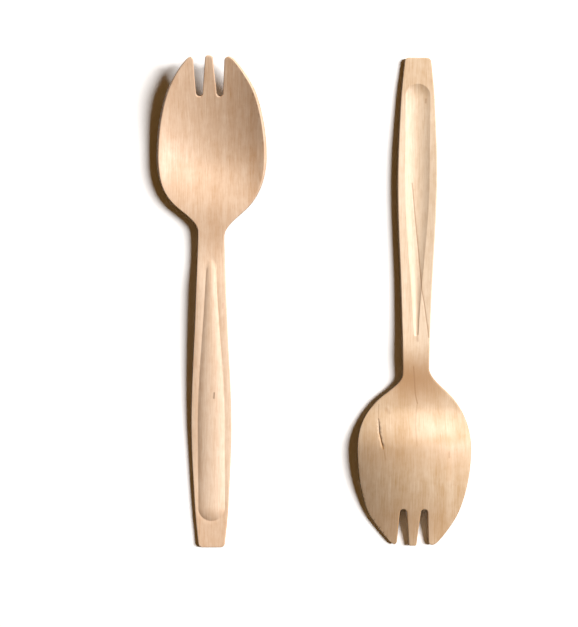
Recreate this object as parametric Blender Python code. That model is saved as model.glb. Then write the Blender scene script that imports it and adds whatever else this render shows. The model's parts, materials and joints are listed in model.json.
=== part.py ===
"""Set of two press-formed wooden sporks, laid head to tail.

Each spork is one piece of thin wood. A flat blank is cut to outline, with two slots that
leave three tines, and is then pressed: the press dishes the bowl, lifts the tines, arches
the handle and raises a long crown along its face, which is a groove on its back.
One spork lies face up. The other lies face down and is turned end for end.

A spork is modelled in its own frame: X across it, Y along it from the handle's end to the
tines, Z out of its face. Its origin is under the handle's end. The set's origin is at the
middle of its footprint, on the surface that it lies on. Lengths are in metres.
"""

import math

import bmesh
import bpy
from mathutils import Matrix, Vector

MM = 0.001

# Blank
THICKNESS = 1.8 * MM
EDGE_CHAMFER = 0.25 * MM

# Bowl outline: two half ellipses that meet at its widest place, cut off at the tines
BOWL_WIDTH = 35.7 * MM
BOWL_TO_NECK = 23.3 * MM
BOWL_TO_TIP = 32 * MM
BOWL_TIP_TAPER = 34.6 * MM
SHOULDER_LENGTH = 10 * MM
SHOULDER_INTO_BOWL = 6.2 * MM

# Handle outline: widths at places set from the handle's end or back from the bowl
HANDLE_LENGTH = 104.2 * MM
END_WIDTH = 8.5 * MM
END_CORNER = 1.3 * MM
HEEL_WIDTH = 11.1 * MM
HEEL_AT = 14 * MM
GRIP_WIDTH = 13 * MM
GRIP_AT = 40 * MM
SHANK_WIDTH = 10.2 * MM
SHANK_TO_BOWL = 27.7 * MM
NECK_WIDTH = 8.6 * MM
NECK_TO_BOWL = 5.7 * MM

# Tines
MIDDLE_TINE_WIDTH = 4.5 * MM
MIDDLE_TINE_TIP = 2.5 * MM
MIDDLE_TINE_ROUND = 0.8 * MM
OUTER_TINE_TAPER = 0.6 * MM
OUTER_TINE_ROUND = 1.2 * MM
TIP_CORNER = 0.8 * MM
TIP_CROWN = 0.6 * MM
SLOT_WIDTH = 2.2 * MM
SLOT_DEPTH = 12.4 * MM
SLOTS_OFF_CENTRE = -0.4 * MM

# Pressed profile: the rise of the middle of the back
PAD_LENGTH = 9 * MM
HANDLE_RISE = 2.2 * MM
NECK_KICK = 1.6 * MM
NECK_KICK_LENGTH = 14 * MM
CREST_INTO_BOWL = 5.8 * MM
TIP_RISE = 8.6 * MM

# Pressed section across
HANDLE_ARCH_RADIUS = 75 * MM
ARCH_RUN = 16 * MM
BOWL_CROSS_RADIUS = 38.8 * MM

# Crown on the handle's face, and the groove that it leaves on the back
CROWN_START = 8.7 * MM
CROWN_TO_BOWL = 13.2 * MM
TAPER_START = 39 * MM
TAPER_TO_BOWL = 6.2 * MM
CROWN_WIDTH = 8.7 * MM
CROWN_NECK_WIDTH = 3 * MM
CROWN_HEIGHT = 0.65 * MM
CROWN_NECK_HEIGHT = 0.5 * MM
GROOVE_WIDTH = 8.1 * MM
GROOVE_NECK_WIDTH = 0.8 * MM
GROOVE_NECK_DEPTH = 0.3 * MM

# Layout of the set
SPACING = 66.9 * MM
STAGGER = 1 * MM
TURNED_YAW = math.radians(-0.5)

# Mesh density
CROWN_COLUMNS = 5
FLANGE_COLUMNS = 3
HANDLE_ROW = 3.4 * MM
BOWL_ROW = 2.1 * MM
FINE_ROW = 1.2 * MM
CORNER_ROWS = 3
ARC_POINTS = 5

BIRCH = (0.78, 0.52, 0.34, 1.0)
BIRCH_ROUGHNESS = 0.55

# Places along the spork that follow from the sizes above
BOWL_AT = HANDLE_LENGTH + BOWL_TO_NECK
LENGTH = BOWL_AT + BOWL_TO_TIP
SHANK_AT = HANDLE_LENGTH - SHANK_TO_BOWL
NECK_AT = HANDLE_LENGTH - NECK_TO_BOWL
SHOULDER_END = HANDLE_LENGTH + SHOULDER_INTO_BOWL
SHOULDER_START = SHOULDER_END - SHOULDER_LENGTH
CREST_AT = HANDLE_LENGTH + CREST_INTO_BOWL
KICK_AT = CREST_AT - NECK_KICK_LENGTH
CROWN_END = HANDLE_LENGTH - CROWN_TO_BOWL
TAPER_END = HANDLE_LENGTH - TAPER_TO_BOWL


def smooth_curve(stations, at):
    """Monotone cubic through (place, value) stations: it never swings past a station."""
    places = [place for place, _ in stations]
    values = [value for _, value in stations]
    if at <= places[0]:
        return values[0]
    if at >= places[-1]:
        return values[-1]
    secants = []
    for k in range(len(stations) - 1):
        secants.append((values[k + 1] - values[k]) / (places[k + 1] - places[k]))
    slopes = [secants[0]]
    for before, after in zip(secants, secants[1:]):
        turns_back = before * after <= 0
        slopes.append(0 if turns_back else 2 * before * after / (before + after))
    slopes.append(secants[-1])
    k = max(i for i in range(len(secants)) if places[i] <= at)
    return hermite(
        at, places[k], values[k], slopes[k], places[k + 1], values[k + 1], slopes[k + 1]
    )


def hermite(at, start, value_a, slope_a, end, value_b, slope_b):
    """Cubic from start to end that meets both values and both slopes."""
    run = end - start
    t = (at - start) / run
    blend = t * t * (3 - 2 * t)
    bend = t * (1 - t)
    return (
        value_a * (1 - blend)
        + value_b * blend
        + run * bend * (slope_a * (1 - t) - slope_b * t)
    )


def ease(at, start, end):
    """Goes from 0 at the start to 1 at the end, level at both."""
    t = min(max((at - start) / (end - start), 0), 1)
    return t * t * (3 - 2 * t)


def handle_half_width(s):
    stations = (
        (0, END_WIDTH / 2),
        (HEEL_AT, HEEL_WIDTH / 2),
        (GRIP_AT, GRIP_WIDTH / 2),
        (SHANK_AT, SHANK_WIDTH / 2),
        (NECK_AT, NECK_WIDTH / 2),
    )
    return smooth_curve(stations, s)


def bowl_half_width(s):
    reach = BOWL_TO_NECK if s < BOWL_AT else BOWL_TIP_TAPER
    share = min(abs(s - BOWL_AT) / reach, 1)
    return BOWL_WIDTH / 2 * math.sqrt(1 - share * share)


def round_corner(from_end, radius):
    """How far a rounded corner draws the side in, at a distance from the end."""
    if from_end >= radius:
        return 0
    return radius - math.sqrt(radius**2 - (radius - from_end) ** 2)


def slope_at(curve, s):
    step = 0.01 * MM
    return (curve(s + step) - curve(s - step)) / (2 * step)


def half_width(s):
    """Half the blank's width at s along it, with the neck's shoulders and the end corners."""
    if s <= SHOULDER_START:
        width = handle_half_width(s)
    elif s < SHOULDER_END:
        width = hermite(
            s,
            SHOULDER_START,
            handle_half_width(SHOULDER_START),
            slope_at(handle_half_width, SHOULDER_START),
            SHOULDER_END,
            bowl_half_width(SHOULDER_END),
            slope_at(bowl_half_width, SHOULDER_END),
        )
    else:
        width = bowl_half_width(s)
    return width - round_corner(s, END_CORNER) - round_corner(LENGTH - s, TIP_CORNER)


def raised_strip(x, s, width, neck_width, height, neck_height):
    """A long crown with round ends, highest along its middle, that tapers towards the neck."""
    taper = ease(s, TAPER_START, TAPER_END)
    half = (width + (neck_width - width) * taper) / 2
    beyond = max(CROWN_START + width / 2 - s, s - (CROWN_END - neck_width / 2), 0)
    reach = math.hypot(x, beyond) / half
    return (height + (neck_height - height) * taper) * max(0, 1 - reach * reach)


def crown_lift(x, s):
    return raised_strip(x, s, CROWN_WIDTH, CROWN_NECK_WIDTH, CROWN_HEIGHT, CROWN_NECK_HEIGHT)


def groove_lift(x, s):
    return raised_strip(x, s, GROOVE_WIDTH, GROOVE_NECK_WIDTH, CROWN_HEIGHT, GROOVE_NECK_DEPTH)


def rise(s):
    """Height of the middle of the back: up the handle, kicked up at the neck, down into the
    bowl and up to the tines."""
    handle = HANDLE_RISE * ease(s, PAD_LENGTH, KICK_AT)
    neck = NECK_KICK * ease(s, KICK_AT, CREST_AT)
    into_bowl = (HANDLE_RISE + NECK_KICK) * ease(s, CREST_AT, BOWL_AT)
    t = max((s - BOWL_AT) / BOWL_TO_TIP, 0)
    return handle + neck - into_bowl + TIP_RISE * t * t * (2 - t)


def cross_curvature(s):
    """Curvature across: the heel is flat, the handle arches and the bowl is dished."""
    arch = ease(s, HEEL_AT, HEEL_AT + ARCH_RUN) - ease(s, CROWN_END, HANDLE_LENGTH)
    dish = ease(s, HANDLE_LENGTH, BOWL_AT)
    return dish / BOWL_CROSS_RADIUS - arch / HANDLE_ARCH_RADIUS


def middle_surface(x, s):
    return THICKNESS / 2 + rise(s) + cross_curvature(s) * x * x / 2


def pressed(point):
    """Where the press takes a point of the flat blank, whose height is from its middle."""
    x, s, depth = point
    step = 0.05 * MM
    slope_x = (middle_surface(x + step, s) - middle_surface(x - step, s)) / (2 * step)
    slope_s = (middle_surface(x, s + step) - middle_surface(x, s - step)) / (2 * step)
    normal = Vector((-slope_x, -slope_s, 1)).normalized()
    lift = crown_lift(x, s) if depth > 0 else groove_lift(x, s)
    return Vector((x, s, middle_surface(x, s) + lift)) + normal * depth


def row_places():
    """Stations of the blank's cross rows, closest where the outline or the crown turns."""
    spans = (
        (END_CORNER, CROWN_START, HANDLE_ROW),
        (CROWN_START, CROWN_START + CROWN_WIDTH, FINE_ROW),
        (CROWN_START + CROWN_WIDTH, CROWN_END - CROWN_NECK_WIDTH, HANDLE_ROW),
        (CROWN_END - CROWN_NECK_WIDTH, CROWN_END, FINE_ROW),
        (CROWN_END, SHOULDER_START, HANDLE_ROW),
        (SHOULDER_START, SHOULDER_END, FINE_ROW),
        (SHOULDER_END, LENGTH - TIP_CORNER, BOWL_ROW),
    )
    places = []
    for k in range(CORNER_ROWS):
        places.append(END_CORNER * (1 - math.cos(k / CORNER_ROWS * math.pi / 2)))
    for start, end, row in spans:
        count = max(1, math.ceil((end - start) / row))
        places.extend(start + (end - start) * k / count for k in range(count))
    for k in range(CORNER_ROWS + 1):
        places.append(LENGTH - TIP_CORNER * (1 - math.sin(k / CORNER_ROWS * math.pi / 2)))
    return places


def column_x(column, s):
    """Place across of a column, counted from the middle: one column follows the crown's foot."""
    columns = CROWN_COLUMNS + FLANGE_COLUMNS
    width = half_width(s)
    even = width * CROWN_COLUMNS / columns
    into_bowl = ease(s, CROWN_END, HANDLE_LENGTH)
    taper = ease(s, TAPER_START, TAPER_END)
    foot = (CROWN_WIDTH + (CROWN_NECK_WIDTH - CROWN_WIDTH) * taper) / 2
    foot += (even - foot) * into_bowl
    foot = min(foot, width * 0.8)
    if column <= CROWN_COLUMNS:
        return foot * column / CROWN_COLUMNS
    return foot + (width - foot) * (column - CROWN_COLUMNS) / FLANGE_COLUMNS


def tip_drop(x, s):
    """How far the tines' ends fall back towards the sides, so that the middle one leads."""
    into_tines = ease(s, LENGTH - SLOT_DEPTH, LENGTH)
    return TIP_CROWN * into_tines * (x / half_width(LENGTH - TIP_CORNER)) ** 2


def flat_blank():
    """The blank as a grid that fills its outline, thickened to the wood's thickness."""
    rows = row_places()
    side_columns = CROWN_COLUMNS + FLANGE_COLUMNS
    bm = bmesh.new()
    bmesh.ops.create_grid(bm, x_segments=2 * side_columns, y_segments=len(rows) - 1, size=1)
    for vert in bm.verts:
        column = round(vert.co.x * side_columns)
        s = rows[round((vert.co.y + 1) / 2 * (len(rows) - 1))]
        x = math.copysign(column_x(abs(column), s), column)
        vert.co = Vector((x, s - tip_drop(x, s), -THICKNESS / 2))
    grown = bmesh.ops.extrude_face_region(bm, geom=bm.faces[:])
    top = [part for part in grown["geom"] if isinstance(part, bmesh.types.BMVert)]
    bmesh.ops.translate(bm, verts=top, vec=(0, 0, THICKNESS))
    bmesh.ops.recalc_face_normals(bm, faces=bm.faces)
    return bm


def arc(centre_x, centre_y, radius, start, end):
    """Points of an arc, with its angles in degrees."""
    points = []
    for k in range(ARC_POINTS + 1):
        angle = math.radians(start + (end - start) * k / ARC_POINTS)
        points.append((centre_x + radius * math.cos(angle), centre_y + radius * math.sin(angle)))
    return points


def slot_outline():
    """Outline of the slot at +X: a round root, flaring flanks and rounded tine tips."""
    root = SLOT_WIDTH / 2
    middle = MIDDLE_TINE_WIDTH / 2 + root
    inner = MIDDLE_TINE_TIP / 2
    outer = middle + root + OUTER_TINE_TAPER
    outer_tip = outer + OUTER_TINE_ROUND
    outer_end = LENGTH - tip_drop(outer_tip, LENGTH)
    points = arc(middle, LENGTH - SLOT_DEPTH + root, root, 180, 360)
    points += arc(outer_tip, outer_end - OUTER_TINE_ROUND, OUTER_TINE_ROUND, 180, 90)
    points.append((outer_tip, LENGTH + SLOT_WIDTH))
    points.append((inner - MIDDLE_TINE_ROUND, LENGTH + SLOT_WIDTH))
    points += arc(inner - MIDDLE_TINE_ROUND, LENGTH - MIDDLE_TINE_ROUND, MIDDLE_TINE_ROUND, 90, 0)
    return points


def slot_cutter(name, side, cutters):
    """A prism through the flat blank, made from the slot's outline on one side."""
    outline = [(SLOTS_OFF_CENTRE + side * x, y) for x, y in slot_outline()]
    curve = bpy.data.curves.new(name + "_outline", "CURVE")
    curve.dimensions = "2D"
    curve.fill_mode = "BOTH"
    curve.extrude = THICKNESS
    spline = curve.splines.new("POLY")
    spline.points.add(len(outline) - 1)
    for point, (x, y) in zip(spline.points, outline):
        point.co = (x, y, 0, 1)
    spline.use_cyclic_u = True
    drawn = bpy.data.objects.new(name + "_outline", curve)
    cutters.objects.link(drawn)
    mesh = evaluated_mesh(drawn)
    bpy.data.objects.remove(drawn)
    bm = bmesh.new()
    bm.from_mesh(mesh)
    bmesh.ops.remove_doubles(bm, verts=bm.verts, dist=0.01 * MM)
    bmesh.ops.recalc_face_normals(bm, faces=bm.faces)
    bm.to_mesh(mesh)
    bm.free()
    cutter = bpy.data.objects.new(name, mesh)
    cutter.hide_render = True
    cutter.display_type = "WIRE"
    cutters.objects.link(cutter)
    return cutter


def evaluated_mesh(obj):
    bpy.context.view_layer.update()
    depsgraph = bpy.context.evaluated_depsgraph_get()
    return bpy.data.meshes.new_from_object(obj.evaluated_get(depsgraph))


def cut_blank(cutters):
    """The flat blank with its two slots cut."""
    mesh = bpy.data.meshes.new("blank")
    bm = flat_blank()
    bm.to_mesh(mesh)
    bm.free()
    blank = bpy.data.objects.new("blank", mesh)
    cutters.objects.link(blank)
    for side, name in ((1, "slot_right"), (-1, "slot_left")):
        cut = blank.modifiers.new(name, "BOOLEAN")
        cut.operation = "DIFFERENCE"
        cut.object = slot_cutter(name, side, cutters)
    cut_mesh = evaluated_mesh(blank)
    bpy.data.objects.remove(blank)
    return cut_mesh


def chamfer_edges(bm):
    """Breaks the cut edges all round both faces of the flat blank."""
    right_angle = math.radians(60)
    level = THICKNESS / 4
    edges = []
    for edge in bm.edges:
        flat_run = abs(edge.verts[0].co.z - edge.verts[1].co.z) < level
        if flat_run and edge.is_manifold and edge.calc_face_angle() > right_angle:
            edges.append(edge)
    bmesh.ops.bevel(
        bm, geom=edges, offset=EDGE_CHAMFER, segments=1, affect="EDGES", clamp_overlap=True
    )


def spork_mesh(cutters):
    """One spork: the cut blank with its edges broken, then pressed to shape."""
    mesh = cut_blank(cutters)
    mesh.name = "spork"
    bm = bmesh.new()
    bm.from_mesh(mesh)
    bmesh.ops.remove_doubles(bm, verts=bm.verts, dist=0.02 * MM)
    chamfer_edges(bm)
    bmesh.ops.triangulate(bm, faces=bm.faces)
    for vert in bm.verts:
        vert.co = pressed(vert.co)
    bm.to_mesh(mesh)
    bm.free()
    mesh.shade_smooth()
    mesh.set_sharp_from_angle(angle=math.radians(35))
    mesh.materials.append(birch())
    return mesh


def birch():
    material = bpy.data.materials.new("birch")
    material.use_nodes = True
    shader = material.node_tree.nodes["Principled BSDF"]
    shader.inputs["Base Color"].default_value = BIRCH
    shader.inputs["Roughness"].default_value = BIRCH_ROUGHNESS
    shader.inputs["Metallic"].default_value = 0
    material.diffuse_color = BIRCH
    return material


def face_down_turn(mesh):
    """Turns a spork over and end for end, tipped until its tines and its handle both touch."""
    tip = max((v.co for v in mesh.vertices), key=lambda co: co.z)
    slopes = [(tip.z - v.co.z) / (tip.y - v.co.y) for v in mesh.vertices if v.co.y < NECK_AT]
    tip_angle = math.atan(min(slopes))
    return Matrix.Rotation(TURNED_YAW, 4, "Z") @ Matrix.Rotation(math.pi - tip_angle, 4, "X")


def laid_down(mesh, turn, x, y):
    """Places a turned spork with the middle of its length at x and y, and its lowest point at 0."""
    middle = turn @ Vector((0, LENGTH / 2, 0))
    lowest = min((turn @ v.co).z for v in mesh.vertices)
    return Matrix.Translation((x - middle.x, y - middle.y, -lowest)) @ turn


def main():
    for obj in list(bpy.data.objects):
        bpy.data.objects.remove(obj)
    scene = bpy.context.scene
    parts = bpy.data.collections.new("spork_set")
    cutters = bpy.data.collections.new("cutters")
    scene.collection.children.link(parts)
    scene.collection.children.link(cutters)

    mesh = spork_mesh(cutters)
    placed = (
        ("spork_face_up", laid_down(mesh, Matrix.Identity(4), 0, 0)),
        ("spork_face_down", laid_down(mesh, face_down_turn(mesh), SPACING, STAGGER)),
    )
    points = [matrix @ v.co for _, matrix in placed for v in mesh.vertices]
    across = [point.x for point in points]
    along = [point.y for point in points]
    centre = Vector(((min(across) + max(across)) / 2, (min(along) + max(along)) / 2, 0))
    for name, matrix in placed:
        spork = bpy.data.objects.new(name, mesh)
        parts.objects.link(spork)
        spork.matrix_world = Matrix.Translation(-centre) @ matrix


main()
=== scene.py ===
"""How a set of two pressed birch sporks looks: fine meshes, wood, light and camera.

Each spork starts as a flat blank in its own frame: X across, Y along it from the handle's
end, Z through the wood. A Geometry Nodes tree presses the blank to shape. The blank's own
coordinates stay on the mesh as the attribute "blank", so the grain runs along the pressed
wood. Lengths are in metres.
"""

import itertools
import json
import math

import bmesh
import bpy
import numpy as np
from mathutils import Matrix, Vector, geometry

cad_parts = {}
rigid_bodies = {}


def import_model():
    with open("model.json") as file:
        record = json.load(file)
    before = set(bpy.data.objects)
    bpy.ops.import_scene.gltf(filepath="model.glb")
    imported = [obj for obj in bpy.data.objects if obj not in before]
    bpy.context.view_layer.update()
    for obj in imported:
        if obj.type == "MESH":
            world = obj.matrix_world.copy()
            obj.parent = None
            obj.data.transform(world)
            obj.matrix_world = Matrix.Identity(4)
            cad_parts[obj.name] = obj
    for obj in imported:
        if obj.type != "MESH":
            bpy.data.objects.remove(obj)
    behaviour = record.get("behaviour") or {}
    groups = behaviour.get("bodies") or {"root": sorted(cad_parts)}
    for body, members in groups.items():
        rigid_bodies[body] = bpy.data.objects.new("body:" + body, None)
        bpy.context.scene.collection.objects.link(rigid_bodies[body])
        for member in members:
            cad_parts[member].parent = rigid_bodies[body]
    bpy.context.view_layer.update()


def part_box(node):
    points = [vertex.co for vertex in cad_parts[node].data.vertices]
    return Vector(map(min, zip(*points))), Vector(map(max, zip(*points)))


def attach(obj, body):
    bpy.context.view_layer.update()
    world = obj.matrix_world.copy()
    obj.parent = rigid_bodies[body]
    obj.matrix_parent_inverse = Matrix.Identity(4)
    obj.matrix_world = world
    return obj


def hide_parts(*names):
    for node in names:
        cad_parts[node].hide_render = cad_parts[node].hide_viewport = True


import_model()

MM = 0.001

# Blank
THICKNESS = 1.8 * MM
EDGE_ROUND = 0.3 * MM

# Bowl outline
BOWL_WIDTH = 35.7 * MM
BOWL_TO_NECK = 23.3 * MM
BOWL_TO_TIP = 32 * MM
BOWL_TIP_TAPER = 34.6 * MM
SHOULDER_LENGTH = 10 * MM
SHOULDER_INTO_BOWL = 6.2 * MM

# Handle outline
HANDLE_LENGTH = 104.2 * MM
END_WIDTH = 8.5 * MM
END_CORNER = 1.3 * MM
HEEL_WIDTH = 11.1 * MM
HEEL_AT = 14 * MM
GRIP_WIDTH = 13 * MM
GRIP_AT = 40 * MM
SHANK_WIDTH = 10.2 * MM
SHANK_TO_BOWL = 27.7 * MM
NECK_WIDTH = 8.6 * MM
NECK_TO_BOWL = 5.7 * MM

# Tines
MIDDLE_TINE_WIDTH = 4.5 * MM
MIDDLE_TINE_TIP = 2.5 * MM
MIDDLE_TINE_ROUND = 0.8 * MM
OUTER_TINE_TAPER = 0.6 * MM
OUTER_TINE_ROUND = 1.2 * MM
TIP_CORNER = 0.8 * MM
TIP_CROWN = 0.6 * MM
SLOT_WIDTH = 2.2 * MM
SLOT_DEPTH = 12.4 * MM
SLOTS_OFF_CENTRE = -0.4 * MM

# Places along the spork that follow from the sizes above
BOWL_AT = HANDLE_LENGTH + BOWL_TO_NECK
LENGTH = BOWL_AT + BOWL_TO_TIP
SHANK_AT = HANDLE_LENGTH - SHANK_TO_BOWL
NECK_AT = HANDLE_LENGTH - NECK_TO_BOWL
SHOULDER_END = HANDLE_LENGTH + SHOULDER_INTO_BOWL
SHOULDER_START = SHOULDER_END - SHOULDER_LENGTH

# No two blanks are cut alike: how much longer the neck and how much wider the bowl is, on the
# right and on the left side
FACE_UP_CUT = ((1.3 * MM, 0), (2.8 * MM, -0.4 * MM))
FACE_DOWN_CUT = ((0.9 * MM, 0), (2.9 * MM, 0.7 * MM))
CUT_LONGER_FROM = 90 * MM
CUT_LONGER_TO = 121 * MM
CUT_WIDER_TO = LENGTH - SLOT_DEPTH

# Sizes that the press gives the blank, as inputs of its tree
PRESS = {
    "Pad Length": 6 * MM,
    "Handle Length": HANDLE_LENGTH,
    "Bow Top": HANDLE_LENGTH - 20.2 * MM,
    "Kick": HANDLE_LENGTH - 7.2 * MM,
    "Crest": HANDLE_LENGTH + 5.8 * MM,
    "Bowl Bottom": BOWL_AT,
    "Length": LENGTH,
    "Handle Rise": 3.2 * MM,
    "Neck Dip": 0.9 * MM,
    "Neck Kick": 0.9 * MM,
    "Tip Rise": 8.6 * MM,
    "Arch Start": HEEL_AT,
    "Arch Run": 20 * MM,
    "Arch Curvature": 1 / (50 * MM),
    "Dish Start": HANDLE_LENGTH + 5 * MM,
    "Dish Curvature": 1 / (38.8 * MM),
    "Strip Start": 8.7 * MM,
    "Strip End": HANDLE_LENGTH - 13.2 * MM,
    "Taper Start": 39 * MM,
    "Taper End": HANDLE_LENGTH - 6.2 * MM,
    "Crown Width": 8.7 * MM,
    "Crown Neck Width": 3 * MM,
    "Crown Height": 0.75 * MM,
    "Crown Neck Height": 0.4 * MM,
    "Crown End Stretch": 3,
    "Groove Width": 8.1 * MM,
    "Groove Neck Width": 1.2 * MM,
    "Groove Neck Height": 0.45 * MM,
    "Crease Depth": 0.08 * MM,
    "Crease Reach": 0.45 * MM,
}

# No two sporks press alike: the face-down one bows and crests further on, and hardly dips
FACE_DOWN_PRESS = {
    "Bow Top": HANDLE_LENGTH - 15 * MM,
    "Kick": HANDLE_LENGTH - 8.5 * MM,
    "Crest": HANDLE_LENGTH + 9.8 * MM,
    "Neck Dip": 0.1 * MM,
    "Neck Kick": 1.6 * MM,
}

# Layout of the set
SPACING = 66.9 * MM
STAGGER = 1 * MM
TURNED_YAW = math.radians(-0.5)

# Mesh density
OUTLINE_STEP = 0.4 * MM
FACE_STEP = 0.6 * MM
LINE_STEP = 0.25 * MM
CORNER_STEPS = 6
RIM_RINGS = 6
WALL_RINGS = 3
STRIP_LINES = tuple(step * MM for step in (-0.35, -0.12, 0, 0.12, 0.35))
SLOPE_STEP = 0.2 * MM

# Grain of the wood: its repeats for each mm across, along and through the blank, and its detail
STREAKS = ((2.4, 0.16, 1.0), 3.0)
BANDS = ((0.28, 0.012, 0.3), 2.0)
MOTTLE = ((0.5, 0.4, 0.4), 4.0)
PORES = ((5.0, 0.7, 2.0), 1.0)
PORE_RANGE = (0.12, 0.24)
MOTTLE_SHARE = 0.6
TONE_SPREAD = 0.9
TONE_MIDDLE = 0.55
PORE_RELIEF = 0.5
RELIEF = 0.08 * MM

# The handle is paler: where that sets in by its end, and where it fades by the neck, in mm
PALE_FROM = (8.0, 18.0)
PALE_TO = (104.0, 88.0)

# Wood of each spork: the seed of its grain, and its dark and pale tones
FACE_UP_WOOD = {"seed": 3.0, "dark": (0.57, 0.30, 0.13), "pale": (0.91, 0.69, 0.51)}
FACE_DOWN_WOOD = {"seed": 11.0, "dark": (0.55, 0.31, 0.12), "pale": (0.90, 0.70, 0.51)}

# Colours of the marks in the wood, and of the painted shade on the back's neck, bowl crest and
# tines
DARK = (0.16, 0.07, 0.025)
BROWN = (0.42, 0.22, 0.10)
AMBER = (0.62, 0.30, 0.08)
PINK = (0.72, 0.36, 0.24)
PALE = (0.92, 0.72, 0.55)
# Partly darker wood, partly painted shade where the neck faces away from the light
NECK_TONE_AND_SHADE = (0.50, 0.27, 0.12)
# Painted shade over the crest of the bowl's back
BOWL_CREST_SHADE = (0.55, 0.31, 0.15)
# Painted shade on the tines, which face away from the light
TINE_SHADE = (0.52, 0.27, 0.11)

# Cracks in the back, in mm on the blank
CRACK = ((-11.9, 118.4), (-11.68, 123.0), (-10.9, 126.2), (-10.4, 127.7))
LONG_LINE = ((-1.67, 41.2), (-0.5, 53.2), (0.68, 64.2), (1.8, 76.2), (2.7, 81.1), (4.15, 91.5))
CRACK_FADE = 2 * MM

# Points, width and depth of each notch that a crack cuts, in mm
NOTCHES = (
    (CRACK, 0.24, 0.3),
    (LONG_LINE, 0.2, 0.03),
)

# Marks on the face and on the back, in mm on the blank: points, width, strength and colour. The
# back's three broad bands are painted shade, the neck's partly darker wood as well
FACE_MARKS = (
    (((0.9, 49.1), (1.0, 50.8)), 0.4, 0.75, DARK),
    (((3.8, 78.4), (3.9, 79.8)), 0.6, 0.35, PINK),
    (((-0.4, 42.4), (-0.35, 43.6)), 0.5, 0.5, PALE),
    (((2.2, 30.2), (2.3, 31.6)), 0.5, 0.5, PALE),
    (((-2.7, 31.3), (-2.6, 32.5)), 0.5, 0.4, PALE),
)
BACK_MARKS = (
    # Band across the neck: partly darker wood, partly painted shade
    (((-2.0, 105.0), (2.0, 105.0)), 13.0, 0.85, NECK_TONE_AND_SHADE),
    # Band of painted shade across the crest of the bowl's back
    (((-12.0, 128.5), (12.0, 128.5)), 9.0, 0.3, BOWL_CREST_SHADE),
    # Band of painted shade across the tines
    (((-6.0, 152.0), (6.0, 152.0)), 11.0, 0.3, TINE_SHADE),
    (CRACK, 0.28, 0.85, DARK),
    (CRACK[1:], 0.5, 0.6, AMBER),
    (((-11.92, 113.3), (-11.9, 118.4)), 0.3, 0.45, BROWN),
    (((-9.4, 115.0), (-8.5, 116.3)), 1.1, 0.3, BROWN),
    (((-10.5, 127.2), (-9.66, 131.1)), 0.4, 0.3, BROWN),
    (LONG_LINE, 0.3, 0.75, BROWN),
    (((-0.81, 101.0), (-0.1, 110.0), (0.58, 112.9)), 0.35, 0.75, BROWN),
    (((0.58, 112.9), (-0.33, 120.4), (0.05, 126.6)), 0.4, 0.3, BROWN),
    (((10.3, 124.5), (10.5, 137.0)), 1.6, 0.25, AMBER),
    (((10.35, 128.6), (10.4, 130.2)), 0.5, 0.4, BROWN),
    (((0.3, 90.9), (0.45, 92.6)), 0.8, 0.4, BROWN),
    (((2.64, 13.7), (2.64, 14.8)), 0.5, 0.5, BROWN),
)

# Camera: straight down, with the frame as tall as this on the floor
CAMERA_HEIGHT = 440 * MM
FRAME_HEIGHT = 206 * MM
SENSOR = 36
FRAME_TO_SPORK = 25.35 * MM
FRAME_BELOW_MIDDLE = 3.17 * MM

# Floor: white to the camera and in gloss, a dim grey for the light that it gives back
FLOOR_SIZE = 6
FLOOR_DROP = 0.02 * MM
FLOOR_SEEN = (1.6, 1.6, 1.6, 1)
FLOOR_SHADE = (0.1, 0.1, 0.1, 1)

# Lamps and the sky's warm fill
LAMP_DISTANCE = 6
SKY_COLOR = (1.0, 0.5, 0.12, 1)
SKY_STRENGTH = 0.07


def smooth_curve(stations, at):
    """Monotone cubic through (place, value) stations: it never swings past a station."""
    places = [place for place, _ in stations]
    values = [value for _, value in stations]
    if at <= places[0]:
        return values[0]
    if at >= places[-1]:
        return values[-1]
    secants = []
    for k in range(len(stations) - 1):
        secants.append((values[k + 1] - values[k]) / (places[k + 1] - places[k]))
    slopes = [secants[0]]
    for before, after in zip(secants, secants[1:]):
        turns_back = before * after <= 0
        slopes.append(0 if turns_back else 2 * before * after / (before + after))
    slopes.append(secants[-1])
    k = max(i for i in range(len(secants)) if places[i] <= at)
    return hermite(
        at, places[k], values[k], slopes[k], places[k + 1], values[k + 1], slopes[k + 1]
    )


def hermite(at, start, value_a, slope_a, end, value_b, slope_b):
    """Cubic from start to end that meets both values and both slopes."""
    run = end - start
    t = (at - start) / run
    blend = t * t * (3 - 2 * t)
    bend = t * (1 - t)
    return (
        value_a * (1 - blend)
        + value_b * blend
        + run * bend * (slope_a * (1 - t) - slope_b * t)
    )


def ease(at, start, end):
    """Goes smoothly from 0 to 1 between two places."""
    t = min(max((at - start) / (end - start), 0), 1)
    return t * t * (3 - 2 * t)


def handle_half_width(s):
    """Half the handle's width at s, from its end through heel, grip and shank to the neck."""
    stations = (
        (0, END_WIDTH / 2),
        (HEEL_AT, HEEL_WIDTH / 2),
        (GRIP_AT, GRIP_WIDTH / 2),
        (SHANK_AT, SHANK_WIDTH / 2),
        (NECK_AT, NECK_WIDTH / 2),
    )
    return smooth_curve(stations, s)


def bowl_half_width(s):
    """Half the bowl's width at s: half an ellipse towards the neck, and a longer one ahead."""
    reach = BOWL_TO_NECK if s < BOWL_AT else BOWL_TIP_TAPER
    share = min(abs(s - BOWL_AT) / reach, 1)
    return BOWL_WIDTH / 2 * math.sqrt(1 - share * share)


def round_corner(from_end, radius):
    """How far a rounded corner draws the side in, at a distance from the end."""
    if from_end >= radius:
        return 0
    return radius - math.sqrt(max(radius**2 - (radius - from_end) ** 2, 0))


def slope_at(curve, s):
    """A curve's slope at s."""
    step = 0.01 * MM
    return (curve(s + step) - curve(s - step)) / (2 * step)


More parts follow.
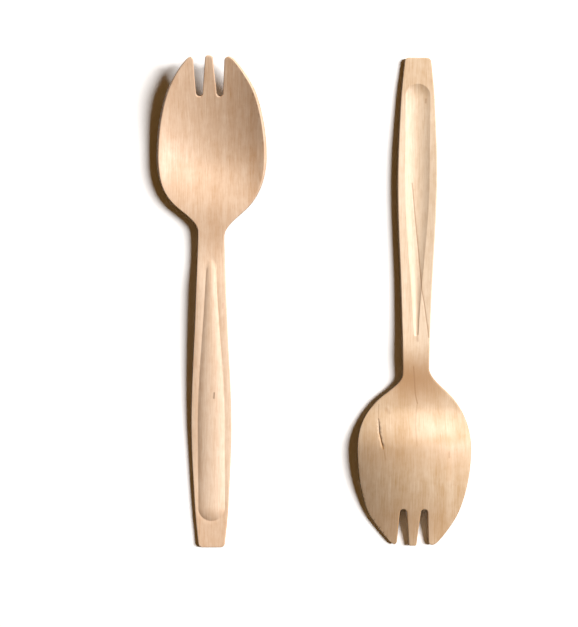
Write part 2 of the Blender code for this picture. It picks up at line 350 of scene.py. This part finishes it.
def half_width(s, neck_longer=0, bowl_wider=0):
    """Half the blank's width at s along it, with the neck's shoulders and the end corners.

    A side's own cut makes the neck longer or the bowl wider by what is given.
    """
    corners = round_corner(s, END_CORNER) + round_corner(LENGTH - s, TIP_CORNER)
    cut_back = ease(s, CUT_LONGER_FROM, SHOULDER_START) - ease(s, HANDLE_LENGTH, CUT_LONGER_TO)
    wider = bowl_wider * (ease(s, SHOULDER_END, BOWL_AT) - ease(s, CUT_WIDER_TO, LENGTH))
    s -= neck_longer * cut_back
    if s <= SHOULDER_START:
        width = handle_half_width(s)
    elif s < SHOULDER_END:
        width = hermite(
            s,
            SHOULDER_START,
            handle_half_width(SHOULDER_START),
            slope_at(handle_half_width, SHOULDER_START),
            SHOULDER_END,
            bowl_half_width(SHOULDER_END),
            slope_at(bowl_half_width, SHOULDER_END),
        )
    else:
        width = bowl_half_width(s)
    return width + wider - corners


def tip_drop(x, s):
    """How far the tines' ends fall back towards the sides, so that the middle one leads."""
    into_tines = ease(s, LENGTH - SLOT_DEPTH, LENGTH)
    return TIP_CROWN * into_tines * (x / half_width(LENGTH - TIP_CORNER)) ** 2


def arc(centre_x, centre_y, radius, start, end):
    """Points of an arc, with its angles in degrees."""
    turn = math.radians(end - start)
    count = max(2, math.ceil(abs(turn) * radius / OUTLINE_STEP * 2))
    points = []
    for k in range(count + 1):
        angle = math.radians(start) + turn * k / count
        points.append((centre_x + radius * math.cos(angle), centre_y + radius * math.sin(angle)))
    return points


def side_outline(cut):
    """The +X side of the blank, from the middle of the handle's end to the outer tine."""
    quarter = [k / CORNER_STEPS * math.pi / 2 for k in range(CORNER_STEPS + 1)]
    run = LENGTH - END_CORNER - TIP_CORNER
    count = round(run / OUTLINE_STEP)
    places = [END_CORNER * (1 - math.cos(angle)) for angle in quarter[:-1]]
    places += [END_CORNER + run * k / count for k in range(count)]
    places += [LENGTH - TIP_CORNER * (1 - math.sin(angle)) for angle in quarter]
    points = [(0, 0)]
    for s in places:
        width = half_width(s, *cut)
        points.append((width, s - tip_drop(width, s)))
    return points


def slot_outline():
    """One slot, from the outer tine's tip round the root to the middle tine's end."""
    root = SLOT_WIDTH / 2
    middle = MIDDLE_TINE_WIDTH / 2 + root
    inner = MIDDLE_TINE_TIP / 2
    outer_tip = middle + root + OUTER_TINE_TAPER + OUTER_TINE_ROUND
    outer_end = LENGTH - tip_drop(outer_tip, LENGTH)
    points = arc(outer_tip, outer_end - OUTER_TINE_ROUND, OUTER_TINE_ROUND, 90, 180)
    points += arc(middle, LENGTH - SLOT_DEPTH + root, root, 360, 180)
    points += arc(inner - MIDDLE_TINE_ROUND, LENGTH - MIDDLE_TINE_ROUND, MIDDLE_TINE_ROUND, 0, 90)
    return points


def divide(points, step):
    """The closed line with points added, so that none of its stretches is longer than a step."""
    out = []
    for (ax, ay), (bx, by) in zip(points, points[1:] + points[:1]):
        count = max(1, math.ceil(math.hypot(bx - ax, by - ay) / step))
        out += [(ax + (bx - ax) * k / count, ay + (by - ay) * k / count) for k in range(count)]
    return out


def trimmed(side, slot):
    """The side and the slot as one line, cut back to where the two cross at the outer tine."""
    for k in range(len(side) - 1, 0, -1):
        for n in range(len(slot) - 1):
            ends = [Vector(point) for point in (side[k - 1], side[k], slot[n], slot[n + 1])]
            crossing = geometry.intersect_line_line_2d(*ends)
            if crossing:
                return side[:k] + [tuple(crossing)] + slot[n + 1:]
    return side + slot


def blank_outline(right_cut, left_cut):
    """The whole outline, anticlockwise from the middle of the handle's end."""
    slot = slot_outline()
    right = trimmed(side_outline(right_cut), [(x + SLOTS_OFF_CENTRE, y) for x, y in slot])
    mirrored = trimmed(side_outline(left_cut), [(x - SLOTS_OFF_CENTRE, y) for x, y in slot])
    left = [(-x, y) for x, y in reversed(mirrored[1:])]
    points = np.array(divide(right + left, OUTLINE_STEP))
    gaps = np.linalg.norm(points - np.roll(points, 1, axis=0), axis=1)
    return points[gaps > OUTLINE_STEP / 50]


def offset_line(points, distance):
    """The closed line moved inwards by a distance."""
    back = points - np.roll(points, 1, axis=0)
    ahead = np.roll(points, -1, axis=0) - points
    back /= np.linalg.norm(back, axis=1)[:, None]
    ahead /= np.linalg.norm(ahead, axis=1)[:, None]
    along = back + ahead
    along /= np.linalg.norm(along, axis=1)[:, None]
    inwards = np.stack((-along[:, 1], along[:, 0]), axis=1)
    mitre = np.clip((back * along).sum(axis=1), 0.5, 1)[:, None]
    return points + inwards * distance / mitre


def distance_to_line(points, line, closed):
    """Each point's distance to a line of straight stretches."""
    starts = line if closed else line[:-1]
    ends = np.roll(line, -1, axis=0) if closed else line[1:]
    nearest = np.full(len(points), np.inf)
    for a, b in zip(starts, ends):
        run = b - a
        t = np.clip(((points - a) @ run) / max(run @ run, 1e-12), 0, 1)
        gap = np.linalg.norm(points - a - t[:, None] * run, axis=1)
        nearest = np.minimum(nearest, gap)
    return nearest


def strip_foot(wide, neck, offset):
    """The foot of the crown or the groove, moved outwards by an offset, as a closed line."""
    first = PRESS["Strip Start"] + wide / 2
    last = PRESS["Strip End"] - neck / 2
    count = round((last - first) / FACE_STEP)
    right = []
    for k in range(1, count):
        s = first + (last - first) * k / count
        share = ease(s, PRESS["Taper Start"], PRESS["Taper End"])
        right.append(((wide + (neck - wide) * share) / 2 + offset, s))
    points = right + arc(0, last, max(right[-1][0], LINE_STEP), 0, 180)
    points += [(-x, y) for x, y in reversed(right)]
    return points + arc(0, first, wide / 2 + offset, 180, 360)


def away_from(points, grid):
    """Which grid points lie half a step or more from all the given points."""
    cells = {}
    for k, (x, y) in enumerate(points):
        cells.setdefault((round(x / FACE_STEP), round(y / FACE_STEP)), []).append(k)
    clear = np.ones(len(grid), bool)
    for k, (x, y) in enumerate(grid):
        column = round(x / FACE_STEP)
        row = round(y / FACE_STEP)
        near = []
        for cell in itertools.product(range(column - 1, column + 2), range(row - 1, row + 2)):
            near += cells.get(cell, [])
        if near and np.linalg.norm(points[near] - (x, y), axis=1).min() < FACE_STEP / 2:
            clear[k] = False
    return clear


def face_triangles(ring, lines):
    """Triangles that fill the ring, with points on a grid and on the lines given."""
    low = ring.min(axis=0)
    high = ring.max(axis=0)
    across = np.arange(low[0], high[0], FACE_STEP)
    along = np.arange(low[1], high[1], FACE_STEP)
    grid = np.stack(np.meshgrid(across, along), axis=-1).reshape(-1, 2)
    grid[:, 0] += np.where(np.round(grid[:, 1] / FACE_STEP) % 2 == 0, 0, FACE_STEP / 2)
    inner = np.concatenate([np.array(line) for line in lines])
    keep = (distance_to_line(inner, ring, True) > FACE_STEP / 3) & inside(inner, ring)
    inner = inner[keep]
    grid = grid[away_from(inner, grid)]
    keep = (distance_to_line(grid, ring, True) > FACE_STEP / 2) & inside(grid, ring)
    points = np.concatenate((ring, inner, grid[keep]))
    border = [(k, (k + 1) % len(ring)) for k in range(len(ring))]
    vectors = [Vector(point) for point in points]
    verts, _, faces, _, _, _ = geometry.delaunay_2d_cdt(vectors, border, [], 0, 1e-7, False)
    points = np.array([tuple(vert) for vert in verts])
    faces = np.array(faces)
    return points, faces[inside(points[faces].mean(axis=1), ring)].tolist()


def inside(points, ring):
    """Which points lie inside a closed line, by counting crossings to one side."""
    crossings = np.zeros(len(points), int)
    for (ax, ay), (bx, by) in zip(ring, np.roll(ring, -1, axis=0)):
        if ay == by:
            continue
        spans = (points[:, 1] >= min(ay, by)) & (points[:, 1] < max(ay, by))
        at = ax + (points[:, 1] - ay) / (by - ay) * (bx - ax)
        crossings += spans & (points[:, 0] < at)
    return crossings % 2 == 1


def notch_lines(points, width):
    """The middle and both edges of a crack, as lines of points for the mesh."""
    middle = np.array(divide(points, LINE_STEP)[:-1])
    middle = middle[distance_to_line(middle, np.array(points), False) < LINE_STEP / 10]
    return [middle + (side * width / 2, 0) for side in (-1, 0, 1)]


def notch_depth(points, line, width, depth):
    """How far a crack's V cuts in at each point; it runs out at both its ends."""
    line = np.array(line)
    from_end = np.minimum(
        np.linalg.norm(points - line[0], axis=1), np.linalg.norm(points - line[-1], axis=1)
    )
    across = np.clip(1 - 2 * distance_to_line(points, line, False) / width, 0, 1)
    return depth * across * np.clip(from_end / CRACK_FADE, 0, 1)


def edge_section():
    """The rounded edge from the back to the face: how far in and how deep each ring lies."""
    half = THICKNESS / 2
    rim = []
    for k in range(1, RIM_RINGS + 1):
        angle = k / RIM_RINGS * math.pi / 2
        inwards = EDGE_ROUND * (1 - math.cos(angle))
        rim.append((inwards, half - EDGE_ROUND * (1 - math.sin(angle))))
    wall = [(0, (half - EDGE_ROUND) * (2 * k / WALL_RINGS - 1)) for k in range(WALL_RINGS + 1)]
    back = [(inwards, -depth) for inwards, depth in reversed(rim)]
    return back + wall + rim


def blank_mesh(name, cut, cracks):
    """The flat blank with rounded edges; cracks are V notches in its back."""
    outline = blank_outline(*cut)
    half = THICKNESS / 2
    bm = bmesh.new()

    def add_ring(distance, depth):
        return [bm.verts.new((x, y, depth)) for x, y in offset_line(outline, distance)]

    def join(ring_a, ring_b):
        for k in range(len(outline)):
            n = (k + 1) % len(outline)
            bm.faces.new((ring_a[k], ring_a[n], ring_b[n], ring_b[k]))

    made = [add_ring(distance, depth) for distance, depth in edge_section()]
    for lower, upper in zip(made, made[1:]):
        join(lower, upper)

    inner_ring = offset_line(outline, EDGE_ROUND)
    face_lines = []
    back_lines = []
    for offset in STRIP_LINES:
        face_lines.append(strip_foot(PRESS["Crown Width"], PRESS["Crown Neck Width"], offset))
        back_lines.append(strip_foot(PRESS["Groove Width"], PRESS["Groove Neck Width"], offset))
    for points, width, _ in cracks:
        back_lines += notch_lines(points, width)
    sides = ((made[-1], half, face_lines, False), (made[0], -half, back_lines, True))
    for ring, depth, lines, flip in sides:
        points, triangles = face_triangles(inner_ring, lines)
        depths = np.full(len(points), depth)
        if flip:
            for crack in cracks:
                depths += notch_depth(points, *crack)
        verts = list(ring)
        for (x, y), z in list(zip(points, depths))[len(ring):]:
            verts.append(bm.verts.new((x, y, z)))
        for triangle in triangles:
            corners = [verts[k] for k in triangle]
            bm.faces.new(reversed(corners) if flip else corners)
    bmesh.ops.recalc_face_normals(bm, faces=bm.faces)
    mesh = bpy.data.meshes.new(name)
    bm.to_mesh(mesh)
    bm.free()
    mesh.shade_smooth()
    return mesh


class Maths:
    """Adds maths nodes to a tree, so that a formula in the script reads as one."""

    def __init__(self, tree):
        self.tree = tree
        in_geometry = tree.bl_idname == "GeometryNodeTree"
        self.group_node = "GeometryNodeGroup" if in_geometry else "ShaderNodeGroup"

    def put(self, socket, value):
        """Gives a socket a value, or a link from another node's output."""
        if isinstance(value, bpy.types.NodeSocket):
            self.tree.links.new(value, socket)
        else:
            socket.default_value = value

    def do(self, operation, *values):
        """Adds one maths node and gives its output."""
        node = self.tree.nodes.new("ShaderNodeMath")
        node.operation = operation
        for socket, value in zip(node.inputs, values):
            self.put(socket, value)
        return node.outputs[0]

    def add(self, a, b):
        return self.do("ADD", a, b)

    def subtract(self, a, b):
        return self.do("SUBTRACT", a, b)

    def multiply(self, *values):
        product = values[0]
        for value in values[1:]:
            product = self.do("MULTIPLY", product, value)
        return product

    def divide(self, a, b):
        return self.do("DIVIDE", a, b)

    def ease(self, value, start, end, low=0.0, high=1.0, smooth=True):
        """Goes from low to high as the value goes from start to end."""
        node = self.tree.nodes.new("ShaderNodeMapRange")
        node.interpolation_type = "SMOOTHSTEP" if smooth else "LINEAR"
        for name, given in zip(
            ("Value", "From Min", "From Max", "To Min", "To Max"), (value, start, end, low, high)
        ):
            self.put(node.inputs[name], given)
        return node.outputs["Result"]

    def group(self, group, **inputs):
        """Adds a group's node and gives its outputs; an underscore stands for a space."""
        node = self.tree.nodes.new(self.group_node)
        node.node_tree = group
        for name, value in inputs.items():
            self.put(node.inputs[name.replace("_", " ")], value)
        return node.outputs


def new_group(name, kind, inputs, outputs):
    """A node group with its sockets, and its input and output nodes."""
    tree = bpy.data.node_groups.new(name, kind)
    for socket_name, socket_type in inputs:
        tree.interface.new_socket(name=socket_name, in_out="INPUT", socket_type=socket_type)
    for socket_name, socket_type in outputs:
        tree.interface.new_socket(name=socket_name, in_out="OUTPUT", socket_type=socket_type)
    given = tree.nodes.new("NodeGroupInput")
    result = tree.nodes.new("NodeGroupOutput")
    return tree, given.outputs, result.inputs


def floats(*names):
    """Sockets for plain numbers."""
    return [(name, "NodeSocketFloat") for name in names]


def middle_surface_group():
    """Height of the pressed sheet's middle surface at a place on the blank."""
    sizes = (
        "Pad Length", "Handle Length", "Bow Top", "Kick", "Crest", "Bowl Bottom", "Length",
        "Handle Rise", "Neck Dip", "Neck Kick", "Tip Rise", "Arch Start", "Arch Run",
        "Arch Curvature", "Dish Start", "Dish Curvature", "Strip End",
    )
    tree, given, result = new_group(
        "Middle Surface", "GeometryNodeTree", floats("Across", "Along", *sizes), floats("Height")
    )
    m = Maths(tree)
    s = given["Along"]
    climb = m.ease(s, given["Pad Length"], given["Bow Top"], 0.0, given["Handle Rise"])
    dip = m.ease(s, given["Bow Top"], given["Kick"], 0.0, given["Neck Dip"])
    kick = m.ease(s, given["Kick"], given["Crest"], 0.0, given["Neck Kick"])
    top = m.add(m.subtract(given["Handle Rise"], given["Neck Dip"]), given["Neck Kick"])
    fall = m.ease(s, given["Crest"], given["Bowl Bottom"], 0.0, top)
    t = m.ease(s, given["Bowl Bottom"], given["Length"], smooth=False)
    lift = m.multiply(given["Tip Rise"], t, t, m.subtract(2.0, t))
    arch_end = m.add(given["Arch Start"], given["Arch Run"])
    arch_in = m.ease(s, given["Arch Start"], arch_end)
    arch_out = m.ease(s, given["Strip End"], given["Handle Length"])
    arch = m.multiply(given["Arch Curvature"], m.subtract(arch_out, arch_in))
    dish = m.ease(s, given["Dish Start"], given["Bowl Bottom"], 0.0, given["Dish Curvature"])
    bow = m.multiply(m.add(arch, dish), given["Across"], given["Across"], 0.5)
    handle = m.add(m.subtract(climb, dip), kick)
    height = m.add(m.add(m.subtract(handle, fall), lift), bow)
    tree.links.new(height, result["Height"])
    return tree, sizes


def raised_strip_group():
    """Lift of a long crown with round ends, and of the fine crease pressed round its foot."""
    names = (
        "Across", "Along", "Start", "End", "Taper Start", "Taper End", "Width", "Neck Width",
        "Height", "Neck Height", "End Stretch", "Crease Depth", "Crease Reach",
    )
    tree, given, result = new_group(
        "Raised Strip", "GeometryNodeTree", floats(*names), floats("Lift")
    )
    m = Maths(tree)
    x = given["Across"]
    s = given["Along"]
    taper = (s, given["Taper Start"], given["Taper End"])
    half = m.multiply(m.ease(*taper, given["Width"], given["Neck Width"]), 0.5)
    height = m.ease(*taper, given["Height"], given["Neck Height"])
    first = m.add(given["Start"], m.multiply(given["Width"], 0.5))
    last = m.subtract(given["End"], m.multiply(given["Neck Width"], 0.5))
    past_last = m.divide(m.subtract(s, last), given["End Stretch"])
    beyond = m.do("MAXIMUM", m.subtract(first, s), past_last)
    beyond = m.do("MAXIMUM", beyond, 0.0)
    reach = m.do("SQRT", m.add(m.multiply(x, x), m.multiply(beyond, beyond)))
    share = m.divide(reach, half)
    crown = m.multiply(height, m.do("MAXIMUM", m.subtract(1.0, m.multiply(share, share)), 0.0))
    from_foot = m.divide(m.subtract(reach, half), given["Crease Reach"])
    notch = m.do("EXPONENT", m.multiply(from_foot, from_foot, -1.0))
    lift = m.subtract(crown, m.multiply(given["Crease Depth"], notch))
    tree.links.new(lift, result["Lift"])
    return tree


def press_tree():
    """Presses a flat blank: its middle surface is bent, and its thickness stays square to it."""
    tree, given, result = new_group(
        "Press",
        "GeometryNodeTree",
        [("Geometry", "NodeSocketGeometry"), ("Material", "NodeSocketMaterial")] + floats(*PRESS),
        [("Geometry", "NodeSocketGeometry")],
    )
    m = Maths(tree)
    surface, surface_sizes = middle_surface_group()
    strip = raised_strip_group()
    place = tree.nodes.new("GeometryNodeInputPosition").outputs[0]
    split = tree.nodes.new("ShaderNodeSeparateXYZ")
    tree.links.new(place, split.inputs[0])
    x, s, depth = split.outputs
    sizes = {name: given[name] for name in surface_sizes}

    def height(across, along):
        return m.group(surface, Across=across, Along=along, **sizes)["Height"]

    here = height(x, s)
    slope_x = m.divide(m.subtract(height(m.add(x, SLOPE_STEP), s), here), SLOPE_STEP)
    slope_s = m.divide(m.subtract(height(x, m.add(s, SLOPE_STEP)), here), SLOPE_STEP)
    steep = m.add(m.add(m.multiply(slope_x, slope_x), m.multiply(slope_s, slope_s)), 1.0)
    along_normal = m.divide(depth, m.do("SQRT", steep))

    def strip_lift(width, neck_width, neck_height, stretch, crease):
        lift = m.group(
            strip,
            Across=x,
            Along=s,
            Start=given["Strip Start"],
            End=given["Strip End"],
            Taper_Start=given["Taper Start"],
            Taper_End=given["Taper End"],
            Width=given[width],
            Neck_Width=given[neck_width],
            Height=given["Crown Height"],
            Neck_Height=given[neck_height],
            End_Stretch=stretch,
            Crease_Depth=crease,
            Crease_Reach=given["Crease Reach"],
        )
        return lift["Lift"]

    crown = strip_lift(
        "Crown Width", "Crown Neck Width", "Crown Neck Height", given["Crown End Stretch"],
        given["Crease Depth"],
    )
    groove = strip_lift("Groove Width", "Groove Neck Width", "Groove Neck Height", 1.0, 0.0)
    on_face = m.do("GREATER_THAN", depth, 0.0)
    lift = m.add(groove, m.multiply(on_face, m.subtract(crown, groove)))
    pressed = tree.nodes.new("ShaderNodeCombineXYZ")
    m.put(pressed.inputs["X"], m.subtract(x, m.multiply(slope_x, along_normal)))
    m.put(pressed.inputs["Y"], m.subtract(s, m.multiply(slope_s, along_normal)))
    m.put(pressed.inputs["Z"], m.add(m.add(m.add(here, lift), along_normal), THICKNESS / 2))

    keep = tree.nodes.new("GeometryNodeStoreNamedAttribute")
    keep.data_type = "FLOAT_VECTOR"
    keep.domain = "POINT"
    keep.inputs["Name"].default_value = "blank"
    move = tree.nodes.new("GeometryNodeSetPosition")
    realize = tree.nodes.new("GeometryNodeRealizeInstances")
    paint = tree.nodes.new("GeometryNodeSetMaterial")
    tree.links.new(given["Geometry"], keep.inputs["Geometry"])
    tree.links.new(place, keep.inputs["Value"])
    tree.links.new(keep.outputs["Geometry"], move.inputs["Geometry"])
    tree.links.new(pressed.outputs[0], move.inputs["Position"])
    tree.links.new(move.outputs["Geometry"], realize.inputs["Geometry"])
    tree.links.new(realize.outputs["Geometry"], paint.inputs["Geometry"])
    tree.links.new(given["Material"], paint.inputs["Material"])
    tree.links.new(paint.outputs["Geometry"], result["Geometry"])
    return tree


def press(mesh, tree, material, own_sizes):
    """The pressed mesh, evaluated from the tree, in the spork's own frame."""
    obj = bpy.data.objects.new(mesh.name, mesh)
    bpy.context.scene.collection.objects.link(obj)
    modifier = obj.modifiers.new("press", "NODES")
    modifier.node_group = tree
    values = dict(PRESS, Material=material) | own_sizes
    for item in tree.interface.items_tree:
        if item.in_out == "INPUT" and item.name in values:
            value = values[item.name]
            modifier[item.identifier] = value if item.name == "Material" else float(value)
    bpy.context.view_layer.update()
    depsgraph = bpy.context.evaluated_depsgraph_get()
    pressed = bpy.data.meshes.new_from_object(obj.evaluated_get(depsgraph))
    bpy.data.objects.remove(obj)
    return pressed


def face_down_turn(mesh):
    """Turns a spork over and end for end, tipped until its tines and its handle both touch."""
    tip = max((v.co for v in mesh.vertices), key=lambda co: co.z)
    slopes = [(tip.z - v.co.z) / (tip.y - v.co.y) for v in mesh.vertices if v.co.y < NECK_AT]
    tip_angle = math.atan(min(slopes))
    return Matrix.Rotation(TURNED_YAW, 4, "Z") @ Matrix.Rotation(math.pi - tip_angle, 4, "X")


def laid_down(mesh, turn, x, y):
    """Places a turned spork with the middle of its length at x and y, and its lowest point at 0."""
    middle = turn @ Vector((0, LENGTH / 2, 0))
    lowest = min((turn @ v.co).z for v in mesh.vertices)
    return Matrix.Translation((x - middle.x, y - middle.y, -lowest)) @ turn


def birch_figure_group():
    """Grain of peeled birch: fine streaks, broad bands and pores, from the blank's own place."""
    tree, given, result = new_group(
        "Birch Figure",
        "ShaderNodeTree",
        [("Blank", "NodeSocketVector")] + floats("Seed", "Streak", "Band", "Pore", "Handle Pale"),
        floats("Tone", "Height"),
    )
    m = Maths(tree)

    def noise(scale, detail):
        """Noise about 0, stretched by its own scale across, along and through the blank."""
        stretch = tree.nodes.new("ShaderNodeVectorMath")
        stretch.operation = "MULTIPLY"
        tree.links.new(given["Blank"], stretch.inputs[0])
        stretch.inputs[1].default_value = scale
        texture = tree.nodes.new("ShaderNodeTexNoise")
        texture.noise_dimensions = "4D"
        texture.inputs["Scale"].default_value = 1.0
        texture.inputs["Detail"].default_value = detail
        texture.inputs["Roughness"].default_value = 0.6
        tree.links.new(stretch.outputs[0], texture.inputs["Vector"])
        tree.links.new(given["Seed"], texture.inputs["W"])
        return m.subtract(texture.outputs[0], 0.5)

    streak = noise(*STREAKS)
    band = noise(*BANDS)
    mottle = noise(*MOTTLE)
    pores = m.ease(noise(*PORES), *PORE_RANGE)
    tone = m.multiply(streak, given["Streak"])
    tone = m.add(tone, m.multiply(m.add(band, m.multiply(mottle, MOTTLE_SHARE)), given["Band"]))
    tone = m.subtract(tone, m.multiply(pores, given["Pore"]))
    split = tree.nodes.new("ShaderNodeSeparateXYZ")
    tree.links.new(given["Blank"], split.inputs[0])
    along = split.outputs[1]
    on_handle = m.multiply(m.ease(along, *PALE_FROM), m.ease(along, *PALE_TO))
    tone = m.add(tone, m.multiply(on_handle, given["Handle Pale"]))
    tree.links.new(tone, result["Tone"])
    tree.links.new(m.subtract(streak, m.multiply(pores, PORE_RELIEF)), result["Height"])
    return tree


def shade_and_grain_mark_group():
    """Mask of a straight mark on one side of the blank; short ones are flecks, long ones lines,
    broad ones bands of painted shade.
    """
    places = [(name, "NodeSocketVector") for name in ("Blank", "Start", "End")]
    tree, given, result = new_group(
        "Grain And Shade Mark", "ShaderNodeTree", places + floats("Width", "Side"), floats("Mask")
    )
    m = Maths(tree)

    def vector(operation, a, b, output=0):
        node = tree.nodes.new("ShaderNodeVectorMath")
        node.operation = operation
        m.put(node.inputs[0], a)
        m.put(node.inputs["Scale" if operation == "SCALE" else 1], b)
        return node.outputs[output]

    flat = vector("MULTIPLY", given["Blank"], (1.0, 1.0, 0.0))
    run = vector("SUBTRACT", given["End"], given["Start"])
    ahead = vector("SUBTRACT", flat, given["Start"])
    along = m.divide(vector("DOT_PRODUCT", ahead, run, 1), vector("DOT_PRODUCT", run, run, 1))
    along = m.do("MAXIMUM", m.do("MINIMUM", along, 1.0), 0.0)
    off = vector("SUBTRACT", ahead, vector("SCALE", run, along))
    gap = vector("LENGTH", off, (0.0, 0.0, 0.0), 1)
    split = tree.nodes.new("ShaderNodeSeparateXYZ")
    tree.links.new(given["Blank"], split.inputs[0])
    on_side = m.do("GREATER_THAN", m.multiply(split.outputs[2], given["Side"]), 0.0)
    mask = m.subtract(1.0, m.ease(gap, 0.0, given["Width"]))
    tree.links.new(m.multiply(mask, on_side), result["Mask"])
    return tree


def birch(name, side, marks, seed, dark, pale):
    """Bare pressed birch, with marks and bands of painted shade on the side that is seen: 1 is the
    face, -1 the back.
    """
    material = bpy.data.materials.new(name)
    material.use_nodes = True
    tree = material.node_tree
    shader = tree.nodes["Principled BSDF"]
    m = Maths(tree)
    attribute = tree.nodes.new("ShaderNodeAttribute")
    attribute.attribute_name = "blank"
    in_mm = tree.nodes.new("ShaderNodeVectorMath")
    in_mm.operation = "SCALE"
    in_mm.inputs["Scale"].default_value = 1 / MM
    tree.links.new(attribute.outputs["Vector"], in_mm.inputs[0])
    place = in_mm.outputs[0]

    figure = m.group(
        bpy.data.node_groups["Birch Figure"],
        Blank=place,
        Seed=seed,
        Streak=1.05,
        Band=1.0,
        Pore=0.16,
        Handle_Pale=0.32,
    )
    ramp = tree.nodes.new("ShaderNodeValToRGB")
    ramp.color_ramp.elements[0].color = (*dark, 1)
    ramp.color_ramp.elements[1].color = (*pale, 1)
    tone = m.add(m.multiply(figure["Tone"], TONE_SPREAD), TONE_MIDDLE)
    tree.links.new(tone, ramp.inputs["Fac"])
    color = ramp.outputs["Color"]

    for points, width, strength, mark_color in marks:
        mask = None
        for start, end in zip(points, points[1:]):
            stretch = m.group(
                bpy.data.node_groups["Grain And Shade Mark"],
                Blank=place,
                Start=(*start, 0.0),
                End=(*end, 0.0),
                Width=width,
                Side=side,
            )["Mask"]
            mask = m.do("MAXIMUM", mask, stretch) if mask else stretch
        blend = tree.nodes.new("ShaderNodeMix")
        blend.data_type = "RGBA"
        tree.links.new(m.multiply(mask, strength), blend.inputs["Factor"])
        tree.links.new(color, blend.inputs["A"])
        blend.inputs["B"].default_value = (*mark_color, 1)
        color = blend.outputs["Result"]
    tree.links.new(color, shader.inputs["Base Color"])

    bump = tree.nodes.new("ShaderNodeBump")
    bump.inputs["Strength"].default_value = 0.35
    bump.inputs["Distance"].default_value = RELIEF
    tree.links.new(figure["Height"], bump.inputs["Height"])
    tree.links.new(bump.outputs["Normal"], shader.inputs["Normal"])
    shader.inputs["Roughness"].default_value = 0.46
    shader.inputs["Specular IOR Level"].default_value = 0.6
    return material


def add_spork(node, pressed, turn, x, y):
    """Lays a pressed spork down at x and y, in place of its solid."""
    pressed.name = node + "_fine"
    pressed.transform(laid_down(pressed, turn, x, y))
    spork = bpy.data.objects.new(node + "_fine", pressed)
    bpy.context.scene.collection.objects.link(spork)
    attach(spork, "root")
    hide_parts(node)
    print(node, "triangles", sum(len(p.vertices) - 2 for p in pressed.polygons))


def add_sporks():
    """Both sporks, on the places of their solids; gives the middle of the face-up one."""
    low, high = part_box("spork_face_up")
    middle_x = (low[0] + high[0]) / 2
    middle_y = low[1] + LENGTH / 2
    tree = press_tree()
    birch_figure_group()
    shade_and_grain_mark_group()
    cracks = []
    for points, width, depth in NOTCHES:
        cracks.append(([(x * MM, y * MM) for x, y in points], width * MM, depth * MM))

    birch_up = birch("birch_up", 1.0, FACE_MARKS, **FACE_UP_WOOD)
    face_up = press(blank_mesh("up", FACE_UP_CUT, ()), tree, birch_up, {})
    add_spork("spork_face_up", face_up, Matrix.Identity(4), middle_x, middle_y)

    birch_down = birch("birch_down", -1.0, BACK_MARKS, **FACE_DOWN_WOOD)
    face_down = press(
        blank_mesh("down", FACE_DOWN_CUT, cracks), tree, birch_down, FACE_DOWN_PRESS
    )
    turn = face_down_turn(face_down)
    add_spork("spork_face_down", face_down, turn, middle_x + SPACING, middle_y + STAGGER)
    return middle_x, middle_y


def add_floor():
    """A white floor just under the sporks, which keeps their shadows."""
    bpy.ops.mesh.primitive_plane_add(size=FLOOR_SIZE, location=(0, 0, -FLOOR_DROP))
    floor = bpy.context.object
    floor.name = "floor"
    material = bpy.data.materials.new("white_floor")
    material.use_nodes = True
    tree = material.node_tree
    shader = tree.nodes["Principled BSDF"]
    shader.inputs["Roughness"].default_value = 0.9
    shader.inputs["Specular IOR Level"].default_value = 0.0
    light_path = tree.nodes.new("ShaderNodeLightPath")
    seen = tree.nodes.new("ShaderNodeMix")
    seen.data_type = "RGBA"
    seen.inputs["A"].default_value = FLOOR_SHADE
    seen.inputs["B"].default_value = FLOOR_SEEN
    rays = light_path.outputs
    direct = Maths(tree).do("MAXIMUM", rays["Is Camera Ray"], rays["Is Glossy Ray"])
    tree.links.new(direct, seen.inputs["Factor"])
    tree.links.new(seen.outputs["Result"], shader.inputs["Base Color"])
    floor.data.materials.append(material)


def add_camera(x, y):
    """A camera that looks straight down at x and y."""
    camera = bpy.data.objects.new("camera", bpy.data.cameras.new("camera"))
    camera.location = (x, y, CAMERA_HEIGHT)
    camera.data.sensor_width = SENSOR
    camera.data.lens = SENSOR * CAMERA_HEIGHT / FRAME_HEIGHT
    bpy.context.scene.collection.objects.link(camera)
    bpy.context.scene.camera = camera


def add_area(name, azimuth, elevation, size_across, size_along, power):
    """A white rectangular lamp aimed at the origin; azimuth is from +X towards +Y."""
    data = bpy.data.lights.new(name, "AREA")
    data.shape = "RECTANGLE"
    data.size = size_across
    data.size_y = size_along
    data.energy = power
    lamp = bpy.data.objects.new(name, data)
    azimuth = math.radians(azimuth)
    elevation = math.radians(elevation)
    direction = Vector(
        (
            math.cos(elevation) * math.cos(azimuth),
            math.cos(elevation) * math.sin(azimuth),
            math.sin(elevation),
        )
    )
    lamp.location = direction * LAMP_DISTANCE
    lamp.rotation_euler = direction.to_track_quat("Z", "Y").to_euler()
    bpy.context.scene.collection.objects.link(lamp)
    return lamp


def add_light():
    """A key lamp, a low side lamp that lights the sporks alone, and a faint warm sky."""
    add_area("key", azimuth=7, elevation=49, size_across=1.0, size_along=2.4, power=325)
    side = add_area("side", azimuth=64, elevation=22, size_across=2.0, size_along=2.0, power=350)
    lit = bpy.data.collections.new("lit_from_the_side")
    for obj in bpy.context.scene.objects:
        if obj.name.startswith("spork"):
            lit.objects.link(obj)
    side.light_linking.receiver_collection = lit
    world = bpy.data.worlds.new("studio")
    world.use_nodes = True
    background = world.node_tree.nodes["Background"]
    background.inputs["Color"].default_value = SKY_COLOR
    background.inputs["Strength"].default_value = SKY_STRENGTH
    bpy.context.scene.world = world


spork_x, spork_y = add_sporks()
add_floor()
add_camera(spork_x + FRAME_TO_SPORK, spork_y - FRAME_BELOW_MIDDLE)
add_light()
bpy.context.scene.view_settings.view_transform = "Standard"
